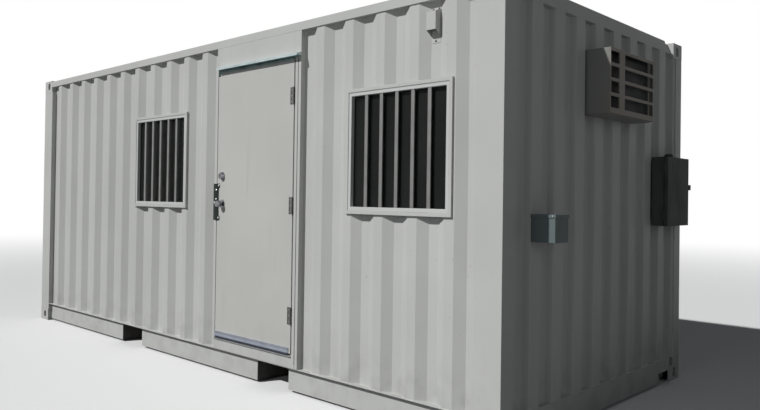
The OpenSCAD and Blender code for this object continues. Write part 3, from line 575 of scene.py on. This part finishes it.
# Dark teal for the drip cap's underside and the strips under it: painted shade
painted_shade_teal = moulded(
    "painted_shade_teal", SHADED_TEAL, roughness=0.6, mark=RUBBER_BLACK, shine=DULL_SHINE
)
# Darker teal of the tab and of the strip by the drip cap's left end: painted shade
tab_painted_shade = moulded(
    "tab_painted_shade", TAB_SHADE_TEAL, roughness=0.6, mark=RUBBER_BLACK, shine=DULL_SHINE
)
flange_aluminium_sky_tint = metal("flange_aluminium_sky_tint", FLANGE_SKY_TINT, roughness=0.34, stretch=ALONG_X)
knuckle_steel = metal(
    "knuckle_steel", KNUCKLE_GREY, roughness=0.45, stretch=UPRIGHT, metallic=0.3
)
seam_filler = moulded(
    "seam_filler", SEAM_GREY, roughness=0.6, mark=RUBBER_BLACK, shine=SEAM_SHINE
)
# Dark vinyl of the sweep's lip, which is also painted shade of the gap below it
sweep_vinyl_and_gap_shade = moulded(
    "sweep_vinyl_and_gap_shade", VINYL_GREY, roughness=0.5, mark=RUBBER_BLACK, shine=SEAM_SHINE
)
hinge_plate_steel = metal(
    "hinge_plate_steel", PLATE_GREY, roughness=0.42, stretch=UPRIGHT, metallic=0.4
)
sealant = moulded("sealant", SEALANT, roughness=0.5, mark=ROAD_DIRT)
cooler_grille = moulded("cooler_grille", GRILLE_TAN, roughness=0.5, mark=COOLER_TAN)
# Black rubber, also used as painted shade in the keyways
black_rubber_and_slot_shade = moulded("black_rubber_and_slot_shade", RUBBER_BLACK, roughness=0.7, mark=CHASSIS_BLACK)
dark_fins = metal("coil_fins", FIN_GREY, roughness=0.45, stretch=UPRIGHT)

# Nodes that stay as they are, and rounded ones, whose finish isn't that of their slot
OWN_FINISH = {
    "threshold": worn_threshold,
    "hinge_leaves_frame": knuckle_steel,
    "hinge_leaves_door": knuckle_steel,
}
ROUNDED_FINISH = {
    "drip_cap": cap_aluminium_sky_tint,
    "ac_grille": cooler_grille,
    "latch_guard": guard_painted_reflection,
}


def hang(name, mesh_in_work, body, material):
    """Turns a finished bmesh into a piece that rides on its body."""
    mesh = bpy.data.meshes.new(name)
    mesh_in_work.to_mesh(mesh)
    mesh_in_work.free()
    mesh.materials.append(material)
    mesh.shade_smooth()
    mesh.set_sharp_from_angle(angle=math.radians(SHARP_DEG))
    piece = bpy.data.objects.new(name, mesh)
    bpy.context.scene.collection.objects.link(piece)
    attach(piece, body)
    return piece


def block(bm, low, high):
    """Adds a box between two corners."""
    low, high = Vector(low), Vector(high)
    made = bmesh.ops.create_cube(bm, size=1.0)["verts"]
    bmesh.ops.scale(bm, vec=high - low, verts=made)
    bmesh.ops.translate(bm, vec=(low + high) / 2, verts=made)


def rod(bm, start, end, radius, end_radius=None, segments=24):
    """Adds a round rod or cone from one point to another."""
    start, end = Vector(start), Vector(end)
    turn = (end - start).to_track_quat("Z", "Y").to_matrix().to_4x4()
    bmesh.ops.create_cone(
        bm, cap_ends=True, segments=segments, radius1=radius,
        radius2=radius if end_radius is None else end_radius, depth=(end - start).length,
        matrix=Matrix.Translation((start + end) / 2) @ turn,
    )


def soften(bm, edges, radius, segments=2):
    """Rounds off the given edges."""
    bmesh.ops.bevel(
        bm, geom=edges, offset=radius, offset_type="OFFSET", segments=segments,
        profile=0.5, affect="EDGES", material=-1, clamp_overlap=True,
    )


def edges_over(bm, length):
    """The edges that are longer than a length."""
    return [e for e in bm.edges if e.calc_length() > length]


def strip(name, low, high, radius, body, material, shortest_edge=STRIP_EDGE):
    """A straight strip between two corners, with its longer edges rounded."""
    bm = bmesh.new()
    block(bm, low, high)
    soften(bm, edges_over(bm, shortest_edge), radius)
    hang(name, bm, body, material)


def whole_faces(node):
    """A copy of a node's mesh, with its loose triangles joined into whole flat faces."""
    bm = bmesh.new()
    bm.from_mesh(frame["nodes"][node].data)
    bmesh.ops.remove_doubles(bm, verts=bm.verts, dist=MERGE_GAP)
    bmesh.ops.dissolve_limit(
        bm, angle_limit=math.radians(FLAT_DEG), verts=bm.verts, edges=bm.edges,
    )
    return bm


def bend_of(edge):
    """The angle that the surface turns by at an edge, in degrees."""
    if len(edge.link_faces) != 2:
        return 0.0
    return math.degrees(edge.calc_face_angle(0.0))


def body_with(node):
    """The body that a node rides on."""
    bodies = frame["record"]["behaviour"]["bodies"]
    return [name for name, nodes in bodies.items() if node in nodes][0]


def slot_of(node):
    """The material slot of a node."""
    parts = frame["record"]["subparts"]
    return [p["material_slot"] for p in parts if p["node"] == node][0]


def rounded_node(node, radius, shortest_edge, bends, segments=2):
    """Stands for a node with its sharp edges, or the folds of its sheet, rounded off."""
    bm = whole_faces(node)
    edges = [e for e in edges_over(bm, shortest_edge) if bends[0] < bend_of(e) < bends[1]]
    soften(bm, edges, radius, segments)
    slot = slot_of(node)
    finish = ROUNDED_FINISH.get(node, MATERIALS[slot])
    piece = hang(node + "_rounded", bm, body_with(node), finish)
    piece.modifiers.new("even_light", "WEIGHTED_NORMAL").keep_sharp = True
    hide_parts(node)
    return piece


def shade_underside(cap):
    """Paints the drip cap's downward faces the dark teal of the strips below it: painted shade."""
    cap.data.materials.append(painted_shade_teal)
    for face in cap.data.polygons:
        if face.normal.z < LOOKS_DOWN:
            face.material_index = 1


def round_the_nodes():
    """The folds of the corrugated sheets, then the corners of the frame, doorway and boxes."""
    for node, (radius, segments) in FOLDS.items():
        rounded_node(node, radius, SHORTEST_FOLD, FOLD_DEG, segments)
    for node, (radius, shortest_edge) in CORNERS.items():
        piece = rounded_node(node, radius, shortest_edge, CORNER_DEG)
        if node == "drip_cap":
            shade_underside(piece)


def coat_nodes():
    """Gives every node its material, also the ones that stay as they are."""
    for node, piece in frame["nodes"].items():
        piece.data.materials.clear()
        own = OWN_FINISH.get(node, MATERIALS[slot_of(node)])
        piece.data.materials.append(own)


def windows():
    """Each window's side, the middle of its front in X and Z, and half its frame's height."""
    low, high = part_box("window_frames")
    z = (low.z + high.z) / 2
    half_h = (high.z - low.z) / 2
    return (
        ("left", low.x + WINDOW_W / 2, z, half_h),
        ("right", high.x - WINDOW_W / 2, z, half_h),
    )


def window_bars():
    """Five flat bars with rounded edges, welded into each window's frame."""
    pitch = (WINDOW_W - 2 * WINDOW_FACE) / (BARS + 1)
    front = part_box("window_frames")[0].y + BAR_SET_BACK
    half_bar = Vector((BAR_W / 2, 0, 0))
    for side, x, z, frame_half_h in windows():
        half_h = frame_half_h - WINDOW_FACE
        places = [x + (i - (BARS - 1) / 2) * pitch for i in range(BARS)]
        bm = bmesh.new()
        for at in places:
            block(
                bm, (at - BAR_W / 2, front, z - half_h),
                (at + BAR_W / 2, front + BAR_T, z + half_h),
            )
        soften(bm, edges_over(bm, half_h), BAR_EDGE_R, segments=3)
        for at in places:
            for end in (z - half_h, z + half_h):
                middle = Vector((at, front + BAR_T / 2, end))
                rod(bm, middle - half_bar, middle + half_bar, BAR_WELD_R, segments=12)
        hang("window_bars_" + side, bm, "root", bar_steel)


def glazing_seals():
    """Black rubber round each pane."""
    glass_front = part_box("window_glass")[0].y
    half_w = WINDOW_W / 2 - WINDOW_FACE
    for side, x, z, frame_half_h in windows():
        bm = bmesh.new()
        grid = bmesh.ops.create_grid(bm, x_segments=1, y_segments=1, size=1.0)["verts"]
        bmesh.ops.scale(bm, vec=(half_w, frame_half_h - WINDOW_FACE, 1), verts=grid)
        bmesh.ops.inset_region(bm, faces=bm.faces[:], thickness=GLAZING_W, use_boundary=True)
        middle = min(bm.faces, key=lambda f: f.calc_center_median().length)
        bmesh.ops.delete(bm, geom=[middle], context="FACES_ONLY")
        bmesh.ops.rotate(bm, matrix=Matrix.Rotation(math.pi / 2, 3, "X"), verts=bm.verts)
        bmesh.ops.translate(bm, vec=(x, glass_front - GLAZING_D, z), verts=bm.verts)
        bmesh.ops.recalc_face_normals(bm, faces=bm.faces)
        ring = bmesh.ops.extrude_face_region(bm, geom=bm.faces[:])["geom"]
        moved = [v for v in ring if isinstance(v, bmesh.types.BMVert)]
        bmesh.ops.translate(bm, vec=(0, GLAZING_D, 0), verts=moved)
        bmesh.ops.recalc_face_normals(bm, faces=bm.faces)
        hang("glazing_seal_" + side, bm, "root", black_rubber_and_slot_shade)


def window_beads():
    """Sealant in the gap between each window's frame and its guard."""
    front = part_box("window_frames")[0].y
    half_w = WINDOW_W / 2 + BEAD_OUT
    for side, x, z, frame_half_h in windows():
        half_h = frame_half_h + BEAD_OUT
        left, right, foot, head = x - half_w, x + half_w, z - half_h, z + half_h
        bm = bmesh.new()
        for level, upright in ((foot, left), (head, right)):
            rod(bm, (left, front, level), (right, front, level), BEAD_R, segments=10)
            rod(bm, (upright, front, foot), (upright, front, head), BEAD_R, segments=10)
        hang("window_bead_" + side, bm, "root", sealant)


def foot_welds():
    """The weld bead along the foot of each wall, on its outer face."""
    for node, out in OUTWARD.items():
        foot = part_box(node)[0].z + WELD_REACH
        sheet = whole_faces(node)
        bm = bmesh.new()
        for edge in sheet.edges:
            start, end = (v.co for v in edge.verts)
            if max(start.z, end.z) > foot or edge.calc_length() < SHORTEST_WELD:
                continue
            if any(f.normal.dot(Vector(out)) > LOOKS_OUT for f in edge.link_faces):
                rod(bm, start, end, WELD_R, segments=8)
        sheet.free()
        hang(node + "_foot_weld", bm, "root", MATERIALS["wall_paint"])


def screw_heads(name, points, radius, height, body, material, sides=12):
    """Small raised heads with a narrower crown, on faces that look to the door's side."""
    outward = Vector(DOOR_SIDE)
    bm = bmesh.new()
    for point in points:
        foot = Vector(point) - outward * height / 2
        head = foot + outward * height
        rod(bm, foot, head, radius, radius, sides)
        rod(bm, head, foot + outward * height * CROWN_TOP, radius, radius * CROWN_WIDTH, sides)
    hang(name, bm, body, material)


def hood_screws():
    """Two screws above the vent hood and one below it."""
    low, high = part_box("vent_hood")
    face = high.y - HOOD_PLATE_T
    x, head = (low.x + high.x) / 2, high.z - HOOD_SCREW_DROP
    points = [
        (x - HOOD_SCREW_SIDE, face, head),
        (x + HOOD_SCREW_SIDE, face, head),
        (x, face, low.z + HOOD_SCREW_RISE),
    ]
    screw_heads(
        "hood_screws", points, HOOD_SCREW_R, HOOD_SCREW_H, "root",
        hinge_plate_steel, sides=16,
    )


def latch_bolts():
    """Bolt heads that hold the latch guard to the leaf."""
    low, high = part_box("latch_guard")
    middle = (low.z + high.z) / 2
    points = [(low.x + dx, low.y + dy, middle + dz) for dx, dy, dz in LATCH_BOLTS]
    screw_heads("latch_bolts", points, LATCH_BOLT_R, LATCH_BOLT_H, "door", bolt_chrome)


def keyways():
    """The slots in the deadbolt's plug and the knob's front, drawn as black blocks: painted shade
    in the slots.
    """
    for node, inward in KEYWAY_IN.items():
        low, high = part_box(node)
        middle = (low + high) / 2
        front = low.y + inward
        bm = bmesh.new()
        block(
            bm,
            (middle.x - KEYWAY_W / 2, front - KEYWAY_OUT, middle.z - KEYWAY_H / 2),
            (middle.x + KEYWAY_W / 2, front + KEYWAY_D, middle.z + KEYWAY_H / 2),
        )
        hang(node + "_keyway", bm, "door", black_rubber_and_slot_shade)


def door_sweep():
    """The rubber lip, the flange and the screws of the sweep at the foot of the door; the dark lip
    is also painted shade of the gap below the sweep.
    """
    low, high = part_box("door_sweep")
    strip(
        "sweep_rubber", (low.x + LIP_SHORT_LEFT, low.y - LIP_D, low.z - LIP_BELOW),
        (high.x - LIP_SHORT_RIGHT, low.y, low.z + LIP_H), LIP_R,
        "door", sweep_vinyl_and_gap_shade,
    )
    strip(
        "sweep_flange", (low.x, low.y - FLANGE_T, high.z - FLANGE_H), (high.x, low.y, high.z),
        FLANGE_R, "door", flange_aluminium_sky_tint,
    )
    step = (high.x - low.x) / SWEEP_SCREWS
    points = [
        (low.x + step * (i + 0.5), low.y, high.z - SWEEP_SCREW_DROP) for i in range(SWEEP_SCREWS)
    ]
    screw_heads(
        "sweep_screws", points, SWEEP_SCREW_R, SWEEP_SCREW_H, "door",
        MATERIALS["hinge_metal"],
    )


def strips_over_door():
    """Strips of painted shade in dark teal: along the leaf's top with a tab, under the drip cap and
    by its left end.
    """
    low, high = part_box("door_leaf")
    cap_low, cap_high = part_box("drip_cap")
    strip(
        "top_shade_strip", (low.x + TAB_W, low.y - TOP_SHADE_STRIP_D, high.z - TOP_SHADE_STRIP_H),
        (high.x - TOP_SHADE_STRIP_SHORT, low.y, high.z), TOP_SHADE_STRIP_R,
        "door", painted_shade_teal,
    )
    strip(
        "cap_soffit_shade", (cap_low.x + SOFFIT_SHORT, low.y - TOP_SHADE_STRIP_D, cap_low.z),
        (cap_high.x - SOFFIT_SHORT, low.y, cap_low.z + SOFFIT_H), SOFFIT_R,
        "root", painted_shade_teal,
    )
    strip(
        "shade_tab", (low.x, low.y - TAB_D, high.z - TAB_H),
        (low.x + TAB_W, low.y, high.z - TAB_DROP), TAB_R,
        "door", tab_painted_shade, shortest_edge=TAB_SHORTEST_EDGE,
    )
    strip(
        "cap_end_shade", (low.x, low.y - TAB_D, high.z + STOP_RISE),
        (cap_low.x - STOP_GAP, low.y, high.z + STOP_TOP), STOP_R,
        "root", tab_painted_shade, shortest_edge=0.0,
    )


def strips_beside_door():
    """The dark weather strip beside the leaf's hinge edge and the seam in the post next to it."""
    low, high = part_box("door_leaf")
    left = high.x + JAMB_SEAL_GAP
    strip(
        "jamb_seal", (left, low.y - JAMB_SEAL_T, low.z), (left + JAMB_SEAL_W, low.y, high.z),
        JAMB_SEAL_R, "root", seam_filler,
    )
    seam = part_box("door_posts")[1].x - SEAM_IN
    strip(
        "jamb_seam", (seam - SEAM_W, low.y - SEAM_T, low.z - SEAM_BELOW),
        (seam, low.y + SEAM_T, high.z), SEAM_R, "root", seam_filler,
    )


def hinge_plates():
    """The flat plates of the three hinges on the leaf's face, with their screws."""
    low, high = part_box("hinge_leaves_door")
    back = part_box("door_leaf")[0].y
    front = back - PLATE_T
    half_h = PLATE_H / 2
    right = low.x - PLATE_GAP
    bm = bmesh.new()
    points = []
    for z in (low.z + half_h, (low.z + high.z) / 2, high.z - half_h):
        block(bm, (right - PLATE_W, front, z - half_h), (right, back, z + half_h))
        points += [(right - PLATE_W / 2, front, z + dz) for dz in PLATE_SCREWS]
    soften(bm, bm.edges[:], PLATE_R)
    hang("hinge_plates", bm, "door", hinge_plate_steel)
    screw_heads(
        "hinge_screws", points, PLATE_SCREW_R, PLATE_SCREW_H, "door",
        MATERIALS["hinge_metal"],
    )


def coil_fins():
    """The thin upright fins of the coil, seen through the cooler's grille, and their back."""
    low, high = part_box("ac_grille")
    back = low.x - COIL_IN
    count = int((high.y - low.y - FINS_SHORT) / FIN_PITCH)
    bm = bmesh.new()
    for i in range(count):
        y = low.y + FINS_FROM + i * FIN_PITCH
        block(bm, (back, y, low.z + FIN_END), (back + FIN_D, y + FIN_T, high.z - FIN_END))
    block(
        bm, (back, low.y + COIL_SHORT, low.z + COIL_SHORT),
        (back + COIL_BACK_T, high.y - COIL_SHORT, high.z - COIL_SHORT),
    )
    hang("coil_fins", bm, "root", dark_fins)


def lid_screw():
    """The screw in the side of the junction box's lid."""
    low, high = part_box("junction_box")
    points = [(high.x - LID_SCREW_BACK, low.y, high.z - LID_SCREW_DROP)]
    screw_heads(
        "lid_screw", points, LID_SCREW_R, LID_SCREW_H, "root",
        MATERIALS["hinge_metal"],
    )


def conduit_hub():
    """The round raised hub on top of the disconnect box, in two tapering steps."""
    low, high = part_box("disconnect_box")
    x, y = (low.x + high.x) / 2 + HUB_FORWARD, (low.y + high.y) / 2 - HUB_ASIDE
    bm = bmesh.new()
    for foot, top, foot_r, top_r in HUB_STEPS:
        rod(bm, (x, y, high.z + foot), (x, y, high.z + top), foot_r, top_r, segments=40)
    hang("conduit_hub", bm, "root", MATERIALS["switch_grey"])


def cover_lug():
    """The padlock lug on the free edge of the disconnect's cover, with rounded corners."""
    low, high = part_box("disconnect_cover")
    x, z = high.x - LUG_T - LUG_IN, (low.z + high.z) / 2 + LUG_RISE
    bm = bmesh.new()
    block(
        bm, (x, high.y - LUG_ROOT, z - LUG_H / 2), (x + LUG_T, high.y + LUG_W, z + LUG_H / 2)
    )
    across = [e for e in bm.edges if e.calc_length() < LUG_ACROSS]
    soften(bm, across, LUG_R, segments=4)
    hang("cover_lug", bm, "cover", MATERIALS["switch_grey"])


def seen_rays(tree):
    """1 for rays from the camera and for what metal and glass show, 0 for rays of soft light."""
    path = tree.nodes.new("ShaderNodeLightPath")
    share = path.outputs["Is Camera Ray"]
    for name in ("Is Glossy Ray", "Is Transmission Ray"):
        share = node_for(
            tree, "ShaderNodeMath", {0: share, 1: path.outputs[name]}, operation="MAXIMUM"
        ).outputs[0]
    return share


def mixed(tree, share, first, second):
    """The second shader over the first by a share."""
    sockets = {0: share, 1: first.outputs[0], 2: second.outputs[0]}
    return node_for(tree, "ShaderNodeMixShader", sockets)


def show_floor():
    """A plain pale floor that keeps the shadow and fades to white far away."""
    bm = bmesh.new()
    bmesh.ops.create_circle(bm, cap_ends=True, segments=FLOOR_SIDES, radius=FLOOR_R)
    mesh = bpy.data.meshes.new("floor")
    bm.to_mesh(mesh)
    bm.free()
    floor = bpy.data.objects.new("floor", mesh)
    bpy.context.scene.collection.objects.link(floor)
    made = bpy.data.materials.new("studio_floor")
    made.use_nodes = True
    tree = made.node_tree
    tree.nodes.remove(tree.nodes["Principled BSDF"])
    place = tree.nodes.new("ShaderNodeTexCoord").outputs["Object"]
    reach = node_for(tree, "ShaderNodeVectorMath", {0: place}, operation="LENGTH")
    far = remap(tree, reach.outputs["Value"], FADE_FROM, FADE_TO)
    pale = node_for(tree, "ShaderNodeBsdfDiffuse", {"Color": FLOOR_PALE})
    bounce = node_for(tree, "ShaderNodeBsdfDiffuse", {"Color": FLOOR_BOUNCE})
    white = node_for(tree, "ShaderNodeEmission", {"Color": WHITE, "Strength": 1.0})
    surface = mixed(tree, seen_rays(tree), bounce, mixed(tree, far, pale, white))
    tree.links.new(surface.outputs[0], tree.nodes["Material Output"].inputs["Surface"])
    mesh.materials.append(made)


def hang_lamp(lamp, heading):
    """Puts a lamp in the scene, pointed along a heading."""
    lamp.rotation_mode = "QUATERNION"
    lamp.rotation_quaternion = heading.to_track_quat("-Z", "Y")
    bpy.context.scene.collection.objects.link(lamp)


def light_it():
    """A soft sun from the photograph's side and two weak soft panels."""
    light = bpy.data.lights.new("sun", "SUN")
    light.energy = SUN_POWER
    light.angle = math.radians(SUN_WIDTH_DEG)
    sun = bpy.data.objects.new("sun", light)
    rise = math.radians(SUN_HEIGHT_DEG)
    hang_lamp(sun, SUN_HEADING.normalized() * math.cos(rise) - Vector((0, 0, math.sin(rise))))
    for name, (place, aim, size, power) in SOFT_PANELS.items():
        light = bpy.data.lights.new(name, "AREA")
        light.size = size
        light.energy = power
        light.color = PANEL_TINT
        panel = bpy.data.objects.new(name, light)
        panel.location = place
        panel.visible_camera = False
        hang_lamp(panel, aim - place)


def show_sky():
    """An even sky that is weak as a light and white where it is seen."""
    world = bpy.data.worlds.new("sky")
    bpy.context.scene.world = world
    world.use_nodes = True
    tree = world.node_tree
    weak = tree.nodes["Background"]
    weak.inputs["Color"].default_value = SKY_BLUE
    weak.inputs["Strength"].default_value = SKY_POWER
    white = node_for(tree, "ShaderNodeBackground", {"Color": WHITE, "Strength": 1.0})
    surface = mixed(tree, seen_rays(tree), weak, white)
    tree.links.new(surface.outputs[0], tree.nodes["World Output"].inputs["Surface"])


def place_camera():
    """The photograph's camera, found from the container's eight corners."""
    lens = bpy.data.cameras.new("camera")
    lens.sensor_fit = "HORIZONTAL"
    lens.sensor_width = SENSOR_MM
    lens.lens = FOCAL_PX / PHOTO_W_PX * SENSOR_MM
    lens.shift_x = (PHOTO_W_PX / 2 - MIDDLE_PX[0]) / PHOTO_W_PX
    lens.shift_y = (MIDDLE_PX[1] - PHOTO_H_PX / 2) / PHOTO_W_PX
    camera = bpy.data.objects.new("camera", lens)
    level = Vector((-math.sin(CAMERA_YAW), math.cos(CAMERA_YAW), 0.0))
    ahead = level * math.cos(CAMERA_PITCH) + Vector((0, 0, math.sin(CAMERA_PITCH)))
    right = Vector((math.cos(CAMERA_YAW), math.sin(CAMERA_YAW), 0.0))
    up = right.cross(ahead)
    right_rolled = right * math.cos(CAMERA_ROLL) + up * math.sin(CAMERA_ROLL)
    up_rolled = up * math.cos(CAMERA_ROLL) - right * math.sin(CAMERA_ROLL)
    turn = Matrix((right_rolled, up_rolled, -ahead)).transposed().to_4x4()
    camera.matrix_world = Matrix.Translation(CAMERA_AT) @ turn
    bpy.context.scene.collection.objects.link(camera)
    bpy.context.scene.camera = camera


coat_nodes()
round_the_nodes()
window_bars()
glazing_seals()
window_beads()
foot_welds()
hood_screws()
latch_bolts()
keyways()
door_sweep()
strips_over_door()
strips_beside_door()
hinge_plates()
coil_fins()
lid_screw()
conduit_hub()
cover_lug()
show_floor()
light_it()
show_sky()
place_camera()
bpy.context.scene.view_settings.view_transform = "Standard"
